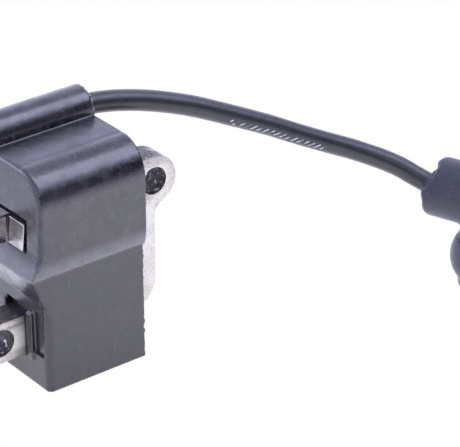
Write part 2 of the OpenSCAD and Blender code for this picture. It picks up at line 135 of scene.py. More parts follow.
def make_lead():
    """The lead as a tube of quads. Its UV is the distance along it and the turn round it."""
    sides = LEAD_SIDES
    line = [p * MM for p in smooth_route(LEAD_ROUTE, LEAD_STEPS)]
    mesh = bmesh.new()
    uv = mesh.loops.layers.uv.new("along")
    rings, run = [], [0.0]
    for a, b in zip(line, line[1:]):
        run.append(run[-1] + (b - a).length)
    for i, centre in enumerate(line):
        way = (line[min(i + 1, len(line) - 1)] - line[max(i - 1, 0)]).normalized()
        side = way.cross(Vector((0, 0, 1))).normalized()
        up = side.cross(way)
        turns = [2 * math.pi * k / sides for k in range(sides)]
        rings.append([mesh.verts.new(centre + LEAD_D / 2 * MM
                                     * (math.cos(t) * side + math.sin(t) * up)) for t in turns])
    for i, (a, b) in enumerate(zip(rings, rings[1:])):
        for k in range(sides):
            face = mesh.faces.new((a[k], b[k], b[(k + 1) % sides], a[(k + 1) % sides]))
            face.smooth = True
            corners = ((i, k), (i + 1, k), (i + 1, k + 1), (i, k + 1))
            for loop, (along, turn) in zip(face.loops, corners):
                loop[uv].uv = (run[along] / MM / UV_UNIT, turn / sides)
    mesh.faces.new(rings[0])
    mesh.faces.new(reversed(rings[-1]))
    bmesh.ops.recalc_face_normals(mesh, faces=mesh.faces)
    data = bpy.data.meshes.new("lead")
    mesh.to_mesh(data)
    mesh.free()
    return link("lead", data, "coil", "lead_jacket", ["ht_lead"]), line


make_camera()
lead, lead_line = make_lead()

# ---- solid shapes from distance fields ----------------------------------------
# A field gives each point's distance from a surface, below zero inside. skin() turns one
# into a mesh, so every moulded edge comes out round.


def box(p, low, high, edge=0.0):
    q = [np.abs(c - (a + b) / 2) - (b - a) / 2 + edge for c, a, b in zip(p, low, high)]
    outside = np.sqrt(sum(np.maximum(v, 0) ** 2 for v in q))
    return outside + np.minimum(np.maximum(np.maximum(q[0], q[1]), q[2]), 0) - edge


def stretch(flat, ends, edge):
    """A flat outline's distance, drawn out between ends, with its edges rounded."""
    a, b = flat + edge, ends + edge
    return np.hypot(np.maximum(a, 0), np.maximum(b, 0)) + np.minimum(np.maximum(a, b), 0) - edge


def rod(p, axis, centre, radius, low, high, edge=0.0):
    i = AXES[axis]
    u, v = [p[k] for k in range(3) if k != i]
    flat = np.hypot(u - centre[0], v - centre[1]) - radius
    return stretch(flat, np.abs(p[i] - (low + high) / 2) - (high - low) / 2, edge)


def melt(a, b, soft):
    """The two together, with a fillet."""
    h = np.clip(0.5 + 0.5 * (b - a) / soft, 0, 1)
    return b + (a - b) * h - soft * h * (1 - h)


def carve(a, b, soft):
    """The first without the second, with the rim rounded."""
    return -melt(-a, b, soft)


# Brings the sum of a few waves back to about -1 to 1
WAVE_GAIN = 1.6


def waves(p, size, seed, count=9):
    """Smooth lumps about size across, from about -1 to 1."""
    rng = np.random.default_rng(seed)
    total = 0
    for _ in range(count):
        way = rng.normal(size=3)
        way *= 2 * math.pi / size * rng.uniform(0.6, 1.3) / np.linalg.norm(way)
        phase = rng.uniform(0, 6.28)
        total = total + np.cos(p[0] * way[0] + p[1] * way[1] + p[2] * way[2] + phase)
    return total / count * WAVE_GAIN


def ease(t):
    t = np.clip(t, 0, 1)
    return t * t * (3 - 2 * t)


CUBE = [(i, j, k) for i in (0, 1) for j in (0, 1) for k in (0, 1)]


def skin(field, low, high, step):
    """Points and quads of the surface where field is zero, by surface nets."""
    low = np.array(low, float)
    count = np.ceil((np.array(high) - low) / step).astype(int) + 1
    lines = [low[i] + step * np.arange(count[i]) for i in range(3)]
    value = field(np.meshgrid(*lines, indexing="ij"))
    inside = value < 0
    cells = count - 1
    full = sum(inside[i:cells[0] + i, j:cells[1] + j, k:cells[2] + k].astype(np.int8)
               for i, j, k in CUBE)
    live = (full > 0) & (full < 8)
    number = np.full(live.shape, -1, np.int64)
    number[live] = np.arange(live.sum())
    where = np.argwhere(live)
    total, hits = np.zeros((len(where), 3)), np.zeros(len(where))
    for a in CUBE:
        for axis in range(3):
            if a[axis]:
                continue
            b = tuple(v + (axis == n) for n, v in enumerate(a))
            va, vb = (value[tuple((where + c).T)] for c in (a, b))
            cross = (va < 0) != (vb < 0)
            part = va[cross] / (va[cross] - vb[cross])
            total[cross] += np.array(a) + part[:, None] * (np.array(b) - np.array(a))
            hits += cross
    points = low + step * (where + total / hits[:, None])
    quads = []
    for axis in range(3):
        u, w = (axis + 1) % 3, (axis + 2) % 3
        first = np.take(inside, range(count[axis] - 1), axis)
        edge = first != np.take(inside, range(1, count[axis]), axis)
        at = np.argwhere(edge)
        at = at[(at[:, u] > 0) & (at[:, w] > 0) & (at[:, u] < cells[u]) & (at[:, w] < cells[w])]
        du, dw = np.eye(3, dtype=int)[u], np.eye(3, dtype=int)[w]
        loop = np.stack([number[tuple((at - s).T)] for s in (0 * du, du, du + dw, dw)], 1)
        out = first[tuple(at.T)]
        quads += [loop[out], loop[~out][:, ::-1]]
    return settle(points, field, step), np.concatenate(quads)


def settle(points, field, step, rounds=2):
    """Moves points onto the surface along the field's slope."""
    def value(where):
        return field(list(where.T))

    reach, least_slope = 0.04, 0.3
    for _ in range(rounds):
        slope = np.stack([(value(points + reach * e) - value(points - reach * e)) / (2 * reach)
                          for e in np.eye(3)], 1)
        size = np.maximum((slope ** 2).sum(1), least_slope)
        points = points - np.clip(value(points) / size, -step / 2, step / 2)[:, None] * slope
    return points


def shell(name, field, low, high, step, body, slot, replaced=(), matrix=None):
    points, quads = skin(field, low, high, step)
    data = bpy.data.meshes.new(name)
    data.from_pydata(points.tolist(), [], quads.tolist())
    data.transform(matrix or Matrix.Translation(CORNER) @ Matrix.Scale(MM, 4))
    data.shade_smooth()
    return link(name, data, body, slot, replaced)


# ---- housing -----------------------------------------------------------------

UPPER_X = (-1.5, 26.7)
UPPER_DEPTH, UPPER_TOP, FRONT_EDGE_R = 25.2, 53.3, 8.0
BACK_EDGE_R, FOOT_EDGE_R = 0.8, 0.5
# The left face leans by its draft from its place at this height
FACE_X, FACE_Z, DRAFT = -1.25, 44.7, 0.045
FLARE_TOP, FLARE_LIP, FLARE_OUT = 34.9, 29.6, -FLARE_X - 1.75
# The upper housing rises from here to its open end by this much
OPEN_END_RISE, RISE_Z, RISE_RUN = 0.3, 36, 12
# The front's foot slopes back below this height
FOOT_SLOPE, FOOT_SLOPE_Z = math.radians(18.5), 31.4
SINK, SINK_WIDTH = 0.10, 0.8
# The lower box, and the step out from it to the upper housing
STEP_Z, STEP_OUT = 28.55, 0.9
BOX_LEN, BOX_DEPTH, BOX_CORNER_R = 26.3, 23.4, 1.7
BOX_BACK = STEP_OUT + BOX_DEPTH
BOX_ROUGH, BOX_ROUGH_X = 0.16, 24
SLANT_Z = 21.5
SEAM_Z, SEAM_OUT = 28.95, 0.16
# The lead's tube, and the web under it, which slopes by these from its foot
TUBE_R, TUBE_Y, TUBE_Z = 4.9, 24.1, 53.9
WEB_Z, WEB_RISE, WEB_RUN, WEB_HALF = 45, 6.94, 3.31, 14.1


def left_face(z):
    """X of the upper housing's left face: drafted, and flared at its foot."""
    flat = FACE_X - (FACE_Z - z) * DRAFT
    flare = np.clip((FLARE_TOP - z) / (FLARE_TOP - FLARE_LIP), 0, 1) ** 1.05
    return flat - flare * FLARE_OUT


def drafted(p):
    """The upper housing grows towards its open end, as a moulding does."""
    x, y, z = p
    return x, y, z - OPEN_END_RISE * x / UPPER_X[1] * ease((z - RISE_Z) / RISE_RUN)


def upper_housing(p):
    x, y, z = drafted(p)
    half = (UPPER_DEPTH / 2, (UPPER_TOP - STEP_Z) / 2)
    u, v = y - half[0], z - (STEP_Z + UPPER_TOP) / 2
    radius = np.where(v > 0, np.where(u < 0, FRONT_EDGE_R, BACK_EDGE_R), FOOT_EDGE_R)
    a, b = np.abs(u) - half[0] + radius, np.abs(v) - half[1] + radius
    flat = np.minimum(np.maximum(a, b), 0) - radius
    flat = flat + np.hypot(np.maximum(a, 0), np.maximum(b, 0))
    # the foot of the front slopes back to the lower box
    slope = (FOOT_SLOPE_Z - z) * math.sin(FOOT_SLOPE) - y * math.cos(FOOT_SLOPE)
    flat = -melt(-flat, -slope, 0.7)
    # the top sinks slightly where it meets the rounded front edge
    flat = flat + SINK * np.exp(-((y - FRONT_EDGE_R - 0.4) / SINK_WIDTH) ** 2) * (v > 0)
    ends = np.maximum(left_face(z) - x, x - UPPER_X[1])
    edge = np.where(x < 10, np.where(z < 32, 0.45, 1.1), 0.25)
    return stretch(flat, ends, edge)


def lower_box(p):
    """The box under the step. Its open edge is rough."""
    x, y, z = p
    lumps = BOX_ROUGH * waves(p, 3.0, 7) + BOX_ROUGH * waves(p, 1.3, 8)
    rough = (x + lumps * (x > BOX_ROUGH_X), y, z)
    base = box(rough, (0, STEP_OUT, 0), (BOX_LEN, BOX_BACK, 32), 0.25)
    corner = box((x, y, z), (0, STEP_OUT, -5), (60, BOX_BACK, 40), BOX_CORNER_R)
    return np.maximum(base, corner)


def flange_foot(p):
    """The slanted underside that joins the flared foot to the lower box."""
    x, y, z = p
    run, rise = -FLARE_X - 0.3, STEP_Z - SLANT_Z
    slant = (-x * rise - (z - SLANT_Z) * run) / math.hypot(run, rise)
    outer = np.maximum(FLARE_X, left_face(z) + 0.3) - x
    flat = np.maximum(np.maximum(slant, outer), np.maximum(z - STEP_Z - 3, x - 2))
    return stretch(flat, np.abs(y - (STEP_OUT + BOX_BACK) / 2) - BOX_DEPTH / 2, 0.3)


def tube(p):
    """The tube that takes the lead, and the web that joins it to the back."""
    p = x, y, z = drafted(p)
    web = np.maximum(np.maximum(UPPER_DEPTH - 1 - y, WEB_Z - z), z - TUBE_Z)
    slope = (y - UPPER_DEPTH) * WEB_RISE - (z - WEB_Z) * WEB_RUN
    web = np.maximum(web, slope / math.hypot(WEB_RISE, WEB_RUN))
    web = np.maximum(web, np.abs(x - sum(UPPER_X) / 2) - WEB_HALF)
    return melt(rod(p, "x", (TUBE_Y, TUBE_Z), TUBE_R, *UPPER_X, 0.2), web, 0.3)


# The window for the core's leg, its guide ribs and the pockets beside them
WINDOW_Y, WINDOW_Z, RIB_T = (8.7, 16.5), (6.0, 18.3), 2.4
POCKET_Z, POCKET_X = (8.3, 18.8), 0.6
GROOVE_R, GROOVE_Z = 0.3, STEP_Z - 0.4
# The terminal's recess, and the deeper slots along its top and its front edge
RECESS = ((-6, 5.4, 34.3), (-0.5, 19.5, 41.8))
RECESS_SLOTS = (((-6, 5.2, 40.1), (0.6, 19.5, 41.9)), ((-6, 5.1, 34.3), (0.6, 6.6, 41.9)))


def housing(p):
    solid = melt(upper_housing(p), flange_foot(p), 0.15)
    solid = np.minimum(solid, lower_box(p))
    solid = melt(solid, tube(p), 0.3)
    groove = rod(p, "y", (FLARE_X + 0.1, GROOVE_Z), GROOVE_R, STEP_OUT + 0.6, BOX_BACK)
    solid = carve(solid, groove, 0.15)
    for y in (WINDOW_Y[0] - RIB_T, WINDOW_Y[1]):
        rib = box(p, (-0.5, y, WINDOW_Z[0]), (4, y + RIB_T, WINDOW_Z[1] - 0.6), 0.3)
        solid = melt(solid, rib, 0.2)
    for a, b in ((STEP_OUT + BOX_CORNER_R, WINDOW_Y[0] - RIB_T + 0.3),
                 (WINDOW_Y[1] + RIB_T - 0.3, BOX_BACK - BOX_CORNER_R)):
        solid = carve(solid, box(p, (-3, a, POCKET_Z[0]), (POCKET_X, b, POCKET_Z[1]), 0.2), 0.2)
    window = box(p, (-3, WINDOW_Y[0], WINDOW_Z[0]), (WALL_X, WINDOW_Y[1], WINDOW_Z[1]), 0.2)
    solid = carve(solid, window, 0.3)
    solid = carve(solid, box(p, *RECESS, 0.2), 0.25)
    for slot in RECESS_SLOTS:
        solid = carve(solid, box(p, *slot, 0.1), 0.15)
    return carve(solid, rod(p, "x", (TUBE_Y, TUBE_Z), LEAD_D / 2 + 0.1, 6, 30, 0.1), 0.2)


# Outlines in (Y, Z) of the room for the windings and the board, and the left wall's inside
WALL_X = 4.2
CAVITY_LOWER = [(2.5, 1.6), (22.7, 1.6), (22.7, 31), (2.5, 31)]
CAVITY_UPPER = [(1.8, 31), (23.4, 31), (23.4, 45.3), (20.4, 45.3), (20.4, 51.3), (8, 51.3),
                (3.6, 49.5), (1.8, 45.3)]


def prism(outline, x0, x1):
    """A closed mesh with that outline in (Y, Z), from x0 to x1."""
    mesh = bmesh.new()
    ends = [[mesh.verts.new(place((x, *q))) for q in outline] for x in (x0, x1)]
    mesh.faces.new(ends[0])
    mesh.faces.new(reversed(ends[1]))
    for i in range(len(outline)):
        j = (i + 1) % len(outline)
        mesh.faces.new((ends[0][i], ends[1][i], ends[1][j], ends[0][j]))
    bmesh.ops.recalc_face_normals(mesh, faces=mesh.faces)
    data = bpy.data.meshes.new("cutter")
    mesh.to_mesh(data)
    mesh.free()
    cutter = bpy.data.objects.new("cutter", data)
    bpy.context.collection.objects.link(cutter)
    return cutter


def cut(piece, cutter):
    """Cuts cutter out of piece, and removes cutter."""
    change = piece.modifiers.new("cut", "BOOLEAN")
    change.operation, change.object, change.solver = "DIFFERENCE", cutter, "FAST"
    whole = bpy.context.evaluated_depsgraph_get()
    made = bpy.data.meshes.new_from_object(piece.evaluated_get(whole))
    piece.modifiers.clear()
    piece.data = made
    bpy.data.objects.remove(cutter)


def seam_along(piece):
    """A fine raised seam where the upper housing meets the lower box."""
    front, left = STEP_OUT, FLARE_X + 0.12
    line = [(BOX_LEN - 0.3, front), (12, front), (left + 0.3, front), (left, front + 0.4),
            (left, 12), (left, BOX_BACK - 0.5)]
    section = ((-0.5, 0.2), (SEAM_OUT, 0), (-0.1, -0.3))
    mesh = bmesh.new()
    mesh.from_mesh(piece.data)
    rings = []
    for i, point in enumerate(line):
        after, before = Vector(line[min(i + 1, len(line) - 1)]), Vector(line[max(i - 1, 0)])
        way = (after - before).normalized()
        ring = [(point[0] - out * way.y, point[1] + out * way.x, SEAM_Z + up)
                for out, up in section]
        rings.append([mesh.verts.new(place(corner)) for corner in ring])
    for a, b in zip(rings, rings[1:]):
        for k in range(3):
            mesh.faces.new((a[k], a[(k + 1) % 3], b[(k + 1) % 3], b[k])).material_index = 1
    mesh.faces.new(reversed(rings[0]))
    mesh.faces.new(rings[-1])
    mesh.to_mesh(piece.data)
    mesh.free()


def make_housing():
    piece = shell("housing", housing, (-4.2, -0.8, -0.8), (27.8, 30.0, 59.8), 0.3,
                  "coil", "case_plastic", ["case"])
    cut(piece, prism(CAVITY_LOWER, WALL_X, 30))
    cut(piece, prism(CAVITY_UPPER, 0.8, 30))
    seam_along(piece)
    return piece


def resin(p):
    """The rough skin of the resin in the open end, which creeps up the walls."""
    x, y, z = p
    lower = box(p, (24.6, 2.3, 1.4), (27, 22.9, 31), 0.4)
    upper = box(p, (24.6, 1.6, 30), (27, 23.6, 45.3), 0.4)
    top = box(p, (24.6, 5.2, 40), (27, 20.6, 51.5), 0.4)
    inside = np.minimum(np.minimum(lower, upper), top)
    level = 25.75 + 0.18 * waves(p, 6, 3) + 0.09 * waves(p, 1.7, 4)
    level = level + 0.5 * np.exp(inside / 0.9)
    return np.maximum(np.maximum(inside, x - level), 25.0 - x)


# ---- core --------------------------------------------------------------------

SHEETS, SHEET_GAP, SHEET_SLIP = 14, 0.03, 0.04
CORE_Y, STACK_T = 9.2, 6.8
LEG_Z, LEG_H, HOLE_R = 6.4, 10.0, 3.3
HOLE_LOW, HOLE_HIGH = (-6.6, 11.4), (35.6, 38.3)
EAR_R, EAR_FILLET_R, BAR_X, FOOT_R = 6.0, 4.0, (27.2, 35.6), 8.0
RIVETS, RIVET_R = ((29.1, 12), (29.1, 27)), 1.2


def arc(centre, radius, start, stop, count=24):
    turn = [math.radians(start + (stop - start) * i / count) for i in range(count + 1)]
    return [(centre[0] + radius * math.cos(t), centre[1] + radius * math.sin(t)) for t in turn]


def core_outline():
    reach = EAR_R + EAR_FILLET_R
    drop = math.sqrt(reach ** 2 - EAR_FILLET_R ** 2)
    lean = math.degrees(math.atan2(drop, EAR_FILLET_R))
    fillet = (BAR_X[1] + EAR_FILLET_R, HOLE_HIGH[1] - drop)
    return (arc(HOLE_LOW, LEG_H / 2, 270, 90)
            + [(BAR_X[0], LEG_Z + LEG_H)]
            + arc((BAR_X[0] + EAR_R, HOLE_HIGH[1]), EAR_R, 180, 90)
            + arc(HOLE_HIGH, EAR_R, 90, -lean)
            + arc(fillet, EAR_FILLET_R, 180 - lean, 180)
            + arc((BAR_X[1] - FOOT_R, LEG_Z + FOOT_R), FOOT_R, 0, -90))


def sheet_mesh(thick, bevel):
    """One punched sheet in (X, Z), with its holes and slightly rounded edges."""
    curve = bpy.data.curves.new("sheet", "CURVE")
    curve.dimensions, curve.fill_mode = "2D", "BOTH"
    curve.extrude = (thick / 2 - bevel) * MM
    curve.bevel_depth, curve.bevel_resolution = bevel * MM, 1
    curve.offset = -bevel * MM
    loops = [core_outline()] + [arc(h, HOLE_R, 0, 352.5, 47) for h in (HOLE_LOW, HOLE_HIGH)]
    loops += [arc(h, RIVET_R, 0, 340, 17) for h in RIVETS]
    for loop in loops:
        line = curve.splines.new("POLY")
        line.points.add(len(loop) - 1)
        line.use_cyclic_u = True
        for point, (x, z) in zip(line.points, loop):
            point.co = (x * MM, z * MM, 0, 1)
    holder = bpy.data.objects.new("sheet", curve)
    bpy.context.collection.objects.link(holder)
    whole = bpy.context.evaluated_depsgraph_get()
    made = bpy.data.meshes.new_from_object(holder.evaluated_get(whole))
    bpy.data.objects.remove(holder)
    made.transform(Matrix.Rotation(math.pi / 2, 4, "X"))
    return made


def make_core():
    """The stack of sheets. Each lies a few hundredths of a millimetre off the next."""
    rng = np.random.default_rng(5)
    pitch = STACK_T / SHEETS
    stack = bmesh.new()
    for i in range(SHEETS):
        data = sheet_mesh(pitch - SHEET_GAP, 0.12 if i in (0, SHEETS - 1) else 0.05)
        slip = rng.uniform(-SHEET_SLIP, SHEET_SLIP, 2) * (0 < i < SHEETS - 1)
        data.transform(Matrix.Translation(place((slip[0], CORE_Y + (i + 0.5) * pitch, slip[1]))))
        stack.from_mesh(data)
        bpy.data.meshes.remove(data)
    bmesh.ops.remove_doubles(stack, verts=stack.verts, dist=1e-7)
    bmesh.ops.recalc_face_normals(stack, faces=stack.faces)
    for face in stack.faces:
        face.smooth = True
        middle = (face.calc_center_median() - CORNER) / MM
        bore = min(math.hypot(middle.x - h[0], middle.z - h[1]) for h in (HOLE_LOW, HOLE_HIGH))
        # 0 is a sheet's face, 1 its punched edge and 2 the edge in a mounting hole
        face.material_index = 0 if abs(face.normal.y) > 0.9 else 2 if bore < HOLE_R + 0.1 else 1
    data = bpy.data.meshes.new("core")
    stack.to_mesh(data)
    stack.free()
    data.set_sharp_from_angle(angle=math.radians(32))
    return link("core", data, "coil", "core_steel", ["core_laminations"])


# ---- stop terminal, seal and boot -------------------------------------------

BLADE_T, BLADE_W, BLADE_LEAN, BEND_R = 0.8, 6.3, 0.1, 0.9
BLADE_Y, BLADE_X, BLADE_Z = 12.4, -9.5, 34.0
PAD_X, PAD_Y, PAD_IN = -1.3, 6.4, -0.5
DETENT_BACK, DETENT_R = 2.6, 0.9


def terminal(p):
    x, y, z = p
    top = BLADE_Z + BLADE_W
    # the strip lies along the drafted face
    x = x + (top - z) * BLADE_LEAN
    p = x, y, z
    side = BLADE_Y + BLADE_T
    pad = box(p, (PAD_X, PAD_Y, BLADE_Z), (PAD_IN, side, top), 0.12)
    blade = box(p, (BLADE_X, BLADE_Y, BLADE_Z), (PAD_IN, side, top), 0.12)
    for sign, z0 in ((1, top), (-1, BLADE_Z)):
        nose = (sign * (z - z0) + BLADE_X - x + 1) / math.sqrt(2)
        blade = carve(blade, -nose, 0.15)
    detent = rod(p, "y", (BLADE_X + DETENT_BACK, BLADE_Z + BLADE_W / 2), DETENT_R, 10, 15)
    blade = carve(blade, detent, 0.1)
    # the strip is bent, so its outer corner is round
    strip = melt(pad, blade, 0.35)
    bend_x, bend_y = PAD_IN - BEND_R, side - BEND_R
    outer = np.hypot(x - bend_x, y - bend_y) - BEND_R
    strip = np.where((x > bend_x) & (y > bend_y), np.maximum(strip, outer), strip)
    tail = box(p, (-0.6, 10, 36), (1.5, 10.8, 38.4), 0.1)
    return melt(strip, tail, 0.2)


def seal(p):
    """A collar of sealant in the tube's mouth, with ragged flash on the mouth's edge."""
    x, y, z = p
    out = np.hypot(y - TUBE_Y, z - TUBE_Z)
    rough = 0.22 * waves(p, 1.4, 11) + 0.12 * waves(p, 0.7, 12)
    ring = np.hypot(np.maximum(np.abs(x - 26.3) - 0.5, 0), out - 3.5) - 0.75
    flash = np.hypot(x - UPPER_X[1] - 0.02, out - TUBE_R + 0.12) - 0.24 - 0.7 * rough
    return np.maximum(np.minimum(ring - rough, flash), 2.48 - out)


# The boot's lengths start at its elbow, with X along its arm and Z up
BEAD_R, BEAD_H, BEAD_EDGE, BOOT_R = 9.5, 13.0, 3.9, 7.3
TORN_BACK = 2.0
SOCKET_R, SOCKET_DEPTH, CHAMBER_R, CHAMBER_TOP = 4.75, 11.0, 3.9, 2.6


def boot(p):
    """A rubber elbow: an arm with a torn end, and a socket in a round bead."""
    x, y, z = p
    foot = -ELBOW.z
    # the end is torn back along its top, with a bite out of it
    across = 0.55 + 0.45 * ease((-0.2 - y) / 2.2)
    torn = 0.2 + TORN_BACK * ease((z - 1.5) / 3.5) * across
    torn = torn + 0.15 * waves((0 * x, y, z), 3.0, 22)
    arm = rod((x - torn * (x < -5), y, z), "x", (0, 0), BOOT_R, -BOOT_ARM, 0, 1.3)
    bite = np.sqrt((x + BOOT_ARM - TORN_BACK) ** 2 + (y + 3.1) ** 2 + (z - 7.1) ** 2) - 0.9
    arm = carve(arm, bite, 0.3)
    body = melt(arm, np.sqrt(x * x + y * y + z * z) - BOOT_R, 0.3)
    body = melt(body, rod(p, "z", (0, 0), BOOT_R, foot, 0), 1.2)
    bead = rod(p, "z", (0, 0), BEAD_R, foot, foot + BEAD_H, BEAD_EDGE)
    ball = np.hypot(np.hypot(x, y) - 2.3, (z - foot - 7.6) * 0.93) - 7.2
    body = melt(body, np.maximum(bead, ball), 0.8)
    # a torn lip of flash round the lead
    reach = 0.5 + 0.45 * waves((0 * x, y, z), 5, 21)
    past = np.maximum(np.abs(x - torn + BOOT_ARM) - reach, 0)
    body = melt(body, np.hypot(past, np.hypot(y, z) - 3.3) - 0.4, 0.3)
    body = carve(body, rod(p, "x", (0, 0), LEAD_D / 2 + 0.06, -BOOT_ARM - 3, 0), 0.1)
    body = carve(body, rod(p, "z", (0, 0), SOCKET_R, foot - 2, foot + SOCKET_DEPTH, 0.2), 0.3)
    return carve(body, rod(p, "z", (0, 0), CHAMBER_R, foot, CHAMBER_TOP, 0.2), 0.1)


AT_ELBOW = (Matrix.Translation(ELBOW * MM) @ Matrix.Rotation(BOOT_YAW, 4, "Z")
            @ Matrix.Scale(MM, 4))

housing_piece = make_housing()
resin_piece = shell("resin_skin", resin, (24.4, 1, 0.8), (28, 24.2, 52.2), 0.35,
                    "coil", "resin")
core_piece = make_core()
terminal_piece = shell("terminal", terminal, (-10.7, 5.8, 33.5), (1.8, 13.8, 40.9), 0.14,
                       "coil", "tinned_metal", ["stop_terminal"])
seal_piece = shell("seal", seal, (25, 18.9, 48.7), (28.4, 29.3, 59.1), 0.16,
                   "coil", "sealant", ["lead_seal"])
boot_piece = shell("boot", boot, (-16.6, -10.2, -22.8), (10.2, 10.2, 7.8), 0.36,
                   "boot", "boot_rubber", ["plug_boot"], AT_ELBOW)

# ---- materials ---------------------------------------------------------------


NOISE_ROUGH = 0.55
# A speck's radius, as a share of its cell
SPECK_R = 0.22


class Paint:
    """A material's nodes, in object coordinates."""

    def __init__(self, name, rough, metallic=0.0, specular=0.5):
        self.material = bpy.data.materials.new(name)
        self.material.use_nodes = True
        self.nodes, self.links = self.material.node_tree.nodes, self.material.node_tree.links
        self.shader = self.nodes["Principled BSDF"]
        self.shader.inputs["Roughness"].default_value = rough
        self.shader.inputs["Metallic"].default_value = metallic
        self.shader.inputs["Specular IOR Level"].default_value = specular
        self.where = self.nodes.new("ShaderNodeTexCoord").outputs["Object"]

    def join(self, source, target):
        self.links.new(source, target)

    def stretched(self, scale, turn=(0, 0, 0)):
        node = self.nodes.new("ShaderNodeMapping")
        node.inputs["Scale"].default_value = scale
        node.inputs["Rotation"].default_value = turn
        self.join(self.where, node.inputs["Vector"])
        return node.outputs["Vector"]

    def axis(self, name, vector=None):
        """One coordinate, of the place in the piece or of another vector."""
        split = self.nodes.new("ShaderNodeSeparateXYZ")
        self.join(vector or self.where, split.inputs["Vector"])
        return split.outputs[name]

    def noise(self, size, detail=3.0, vector=None):
        """Noise whose lumps are about size millimetres across."""
        node = self.nodes.new("ShaderNodeTexNoise")
        node.inputs["Scale"].default_value = 1 / (size * MM)
        node.inputs["Detail"].default_value = detail
        node.inputs["Roughness"].default_value = NOISE_ROUGH
        self.join(vector or self.where, node.inputs["Vector"])
        return node.outputs["Fac"]

    def dusted(self, base, size, share, strength, colour):
        """The base with small spots, one in that share of the cells of size millimetres."""
        node = self.nodes.new("ShaderNodeTexVoronoi")
        node.inputs["Scale"].default_value = 1 / (size * MM)
        self.join(self.where, node.inputs["Vector"])
        near = self.math("LESS_THAN", node.outputs["Distance"], SPECK_R)
        split = self.nodes.new("ShaderNodeSeparateColor")
        self.join(node.outputs["Color"], split.inputs["Color"])
        spots = self.math("MULTIPLY", near, self.math("LESS_THAN", split.outputs["Red"], share))
        return self.mix(self.math("MULTIPLY", spots, strength), base, colour)

    def math(self, what, a, b=0.0):
        node = self.nodes.new("ShaderNodeMath")
        node.operation = what
        for socket, value in zip(node.inputs, (a, b)):
            if isinstance(value, (int, float)):
                socket.default_value = value
            else:
                self.join(value, socket)
        return node.outputs["Value"]

    def apart(self, a, b):
        return self.math("ABSOLUTE", self.math("SUBTRACT", a, b))

    def ramp(self, source, *stops):
        """Colours or greys at places from 0 to 1."""
        node = self.nodes.new("ShaderNodeValToRGB")
        marks = node.color_ramp.elements
        while len(marks) < len(stops):
            marks.new(0.5)
        for mark, (at, colour) in zip(marks, stops):
            mark.position = at
            mark.color = (*colour, 1) if isinstance(colour, tuple) else (colour, colour, colour, 1)
        self.join(source, node.inputs["Fac"])
        return node.outputs["Color"]

    def mix(self, share, a, b):
        node = self.nodes.new("ShaderNodeMix")
        node.data_type = "RGBA"
        for name, value in (("Factor", share), ("A", a), ("B", b)):
            socket = next(s for s in node.inputs if s.name == name and s.enabled)
            if isinstance(value, (int, float)):
                socket.default_value = value if name == "Factor" else (value, value, value, 1)
            elif isinstance(value, tuple):
                socket.default_value = (*value, 1)
            else:
                self.join(value, socket)
        return next(s for s in node.outputs if s.enabled)

    def colour(self, source):
        self.join(source, self.shader.inputs["Base Color"])

    def rough(self, source):
        self.join(source, self.shader.inputs["Roughness"])

    def bump(self, *layers):
        """Bumps, each a height and the millimetres that it stands out."""
        normal = None
        for height, depth in layers:
            node = self.nodes.new("ShaderNodeBump")
            node.inputs["Distance"].default_value = depth * MM
            self.join(height, node.inputs["Height"])
            if normal:
                self.join(normal, node.inputs["Normal"])
            normal = node.outputs["Normal"]
        self.join(normal, self.shader.inputs["Normal"])


# How far above the seam the lip's painted highlight reaches, which also scales heights in the
# housing's paint
LIP_BAND_H = 5


def case_plastic():
    """Black moulded plastic with cloudy patches, fine grain, dust and scratches, painted shade on
    the lower box and a painted highlight along the lip above the seam.
    """
    paint = Paint("case_plastic", 0.3)
    broad = paint.noise(3.2, 5)
    grain = paint.noise(0.42, 3)
    base = paint.ramp(broad, (0.3, (0.003, 0.003, 0.004)), (0.7, (0.018, 0.0175, 0.021)))
    speckle = paint.ramp(grain, (0.35, (0.004, 0.004, 0.005)), (0.7, (0.021, 0.0205, 0.0245)))
    base = paint.mix(0.4, base, speckle)
    blotch = paint.ramp(paint.noise(2.2, 5), (0.48, 0.0), (0.66, 0.5))
    base = paint.mix(blotch, base, (0.034, 0.033, 0.037))
    base = paint.dusted(base, 0.55, 0.05, 0.2, (0.42, 0.41, 0.42))
    # painted shade: the lower box, below the seam, goes most of the way to near black; painted
    # highlight: the lip above the seam is lighter, in patches
    above = paint.math("SUBTRACT", paint.axis("Z"), SEAM_Z * MM)
    height = paint.math("DIVIDE", above, LIP_BAND_H * MM)
    # painted shade on the lower box, below the seam
    base = paint.mix(paint.ramp(height, (0.0, 0.62), (0.03, 0.0)), base, (0.003, 0.003, 0.004))
    # painted highlight: a lighter band just above the seam, fading out upwards
    lip = paint.ramp(height, (0.0, 0.0), (0.04, 0.9), (0.5, 0.7), (0.95, 0.0))
    patchy = paint.ramp(paint.noise(2.0, 4), (0.3, 0.55), (0.7, 1.0))
    base = paint.mix(paint.math("MULTIPLY", lip, patchy), base, (0.085, 0.084, 0.09))
    scratch = paint.noise(1.0, 2, paint.stretched((1, 1, 0.1), (0.5, 0.3, 0)))
    base = paint.mix(paint.ramp(scratch, (0.68, 0.0), (0.74, 0.10)), base, (0.2, 0.2, 0.22))
    paint.colour(base)
    smear = paint.ramp(paint.noise(5, 5), (0.32, 0.17), (0.68, 0.33))
    paint.rough(paint.mix(paint.ramp(grain, (0.5, 0.0), (0.8, 0.4)), smear, 0.45))
    paint.bump((grain, 0.012), (paint.noise(2.6, 2), 0.06))
    return paint.material


def resin_paint():
    paint = Paint("resin", 0.2)
    paint.colour(paint.ramp(paint.noise(3, 4), (0.3, (0.012, 0.012, 0.013)),
                            (0.75, (0.035, 0.034, 0.034))))
    paint.rough(paint.ramp(paint.noise(1.5, 3), (0.3, 0.12), (0.7, 0.4)))
    paint.bump((paint.noise(0.9, 3), 0.06))
    return paint.material


